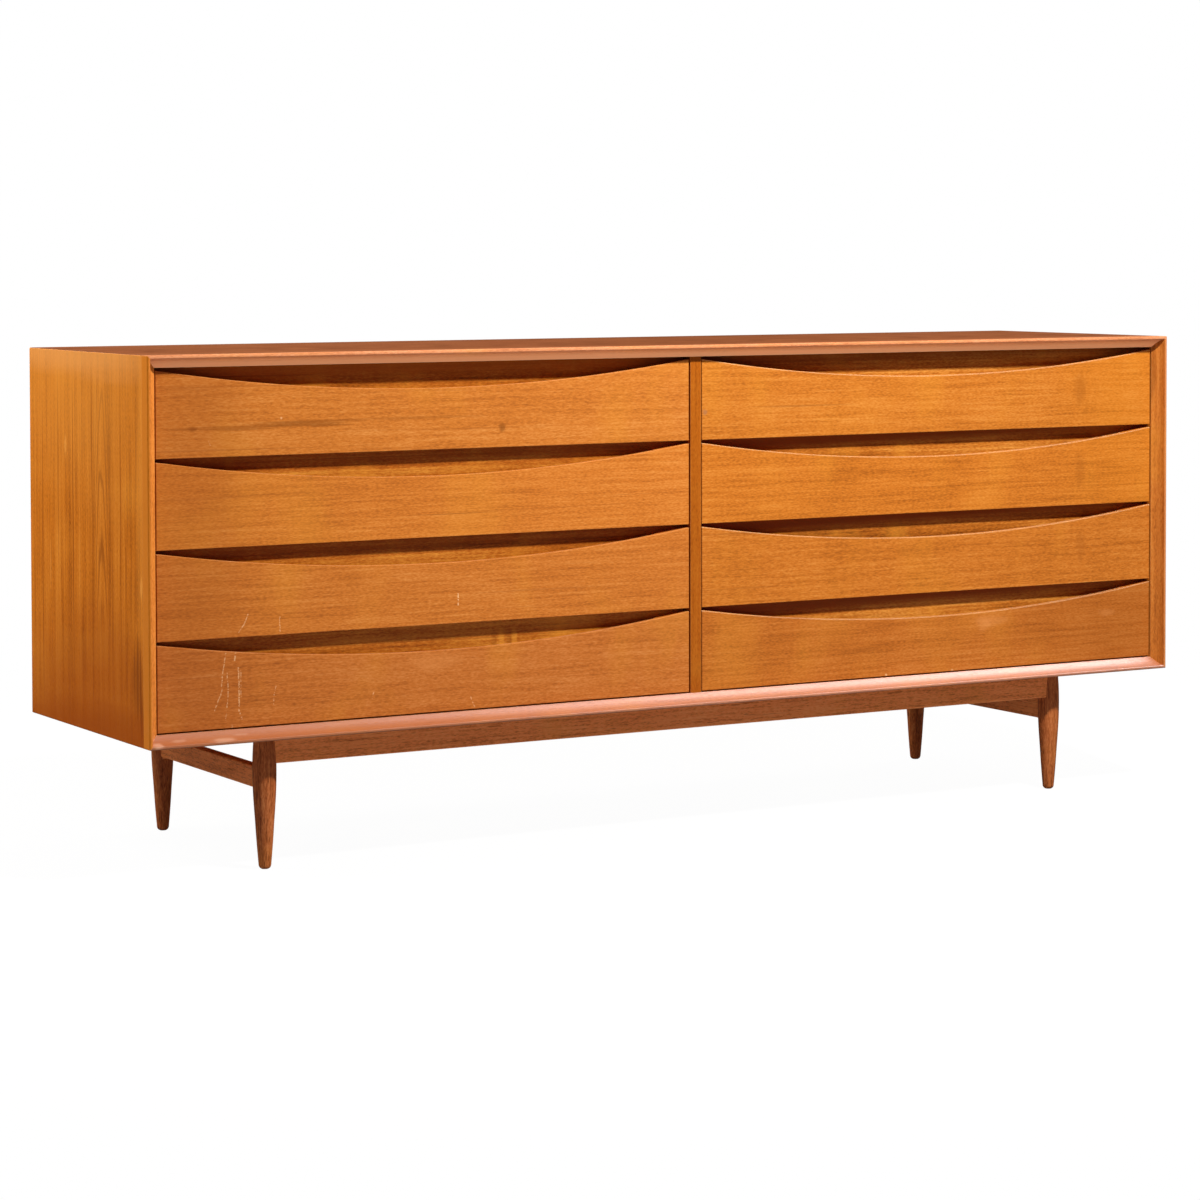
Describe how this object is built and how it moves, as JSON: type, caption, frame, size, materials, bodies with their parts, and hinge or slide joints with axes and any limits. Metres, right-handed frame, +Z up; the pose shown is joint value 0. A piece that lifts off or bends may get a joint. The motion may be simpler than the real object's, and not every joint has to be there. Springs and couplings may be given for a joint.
{
  "type": "dresser with drawers",
  "caption": "Long low teak dresser with two columns of drawers that have scooped top edges as pulls, in a mitred case with hollowed lippings, on turned tapered legs.",
  "frame": {"origin": "on the floor, under the middle of the case", "axes": "+X along the front to the right, +Y from the front to the back, +Z up"},
  "size_m": [1.9, 0.48, 0.78],
  "materials": {
    "teak_front": "oiled satin teak veneer",
    "teak_inner": "oiled teak board",
    "teak_case": "oiled satin teak veneer",
    "teak_lipping": "oiled solid teak",
    "teak_base": "oiled solid teak, darker",
    "teak_back": "plain teak veneered ply",
    "box_wood": "waxed pale hardwood",
    "box_plywood": "waxed birch plywood",
    "runner_wood": "bare hardwood",
    "screw_steel": "dulled zinc"
  },
  "bodies": {
    "case": {"top_panel": "teak_case", "bottom_panel": "teak_case", "left_side": "teak_case", "right_side": "teak_case", "centre_divider": "teak_case", "back_panel": "teak_back", "top_lipping": "teak_lipping", "bottom_lipping": "teak_lipping", "left_lipping": "teak_lipping", "right_lipping": "teak_lipping", "drawer_runners": "runner_wood", "front_left_leg": "teak_base", "front_right_leg": "teak_base", "rear_left_leg": "teak_base", "rear_right_leg": "teak_base", "front_rail": "teak_base", "rear_rail": "teak_base", "left_stretcher": "teak_base", "right_stretcher": "teak_base", "wood_screws": "screw_steel"},
    "left_drawer_1": {"left_drawer_1_front": "teak_front", "left_drawer_1_inner_front": "teak_inner", "left_drawer_1_sides": "box_wood", "left_drawer_1_back": "box_wood", "left_drawer_1_bottom": "box_plywood"},
    "left_drawer_2": {"left_drawer_2_front": "teak_front", "left_drawer_2_inner_front": "teak_inner", "left_drawer_2_sides": "box_wood", "left_drawer_2_back": "box_wood", "left_drawer_2_bottom": "box_plywood"},
    "left_drawer_3": {"left_drawer_3_front": "teak_front", "left_drawer_3_inner_front": "teak_inner", "left_drawer_3_sides": "box_wood", "left_drawer_3_back": "box_wood", "left_drawer_3_bottom": "box_plywood"},
    "left_drawer_4": {"left_drawer_4_front": "teak_front", "left_drawer_4_inner_front": "teak_inner", "left_drawer_4_sides": "box_wood", "left_drawer_4_back": "box_wood", "left_drawer_4_bottom": "box_plywood"},
    "right_drawer_1": {"right_drawer_1_front": "teak_front", "right_drawer_1_inner_front": "teak_inner", "right_drawer_1_sides": "box_wood", "right_drawer_1_back": "box_wood", "right_drawer_1_bottom": "box_plywood"},
    "right_drawer_2": {"right_drawer_2_front": "teak_front", "right_drawer_2_inner_front": "teak_inner", "right_drawer_2_sides": "box_wood", "right_drawer_2_back": "box_wood", "right_drawer_2_bottom": "box_plywood"},
    "right_drawer_3": {"right_drawer_3_front": "teak_front", "right_drawer_3_inner_front": "teak_inner", "right_drawer_3_sides": "box_wood", "right_drawer_3_back": "box_wood", "right_drawer_3_bottom": "box_plywood"},
    "right_drawer_4": {"right_drawer_4_front": "teak_front", "right_drawer_4_inner_front": "teak_inner", "right_drawer_4_sides": "box_wood", "right_drawer_4_back": "box_wood", "right_drawer_4_bottom": "box_plywood"}
  },
  "joints": [
    {"name": "left_drawer_1_slide", "type": "slide", "parent": "case", "child": "left_drawer_1", "axis": [0, -1, 0], "range_m": [0, 0.28]},
    {"name": "left_drawer_2_slide", "type": "slide", "parent": "case", "child": "left_drawer_2", "axis": [0, -1, 0], "range_m": [0, 0.28]},
    {"name": "left_drawer_3_slide", "type": "slide", "parent": "case", "child": "left_drawer_3", "axis": [0, -1, 0], "range_m": [0, 0.28]},
    {"name": "left_drawer_4_slide", "type": "slide", "parent": "case", "child": "left_drawer_4", "axis": [0, -1, 0], "range_m": [0, 0.28]},
    {"name": "right_drawer_1_slide", "type": "slide", "parent": "case", "child": "right_drawer_1", "axis": [0, -1, 0], "range_m": [0, 0.28]},
    {"name": "right_drawer_2_slide", "type": "slide", "parent": "case", "child": "right_drawer_2", "axis": [0, -1, 0], "range_m": [0, 0.28]},
    {"name": "right_drawer_3_slide", "type": "slide", "parent": "case", "child": "right_drawer_3", "axis": [0, -1, 0], "range_m": [0, 0.28]},
    {"name": "right_drawer_4_slide", "type": "slide", "parent": "case", "child": "right_drawer_4", "axis": [0, -1, 0], "range_m": [0, 0.28]}
  ]
}
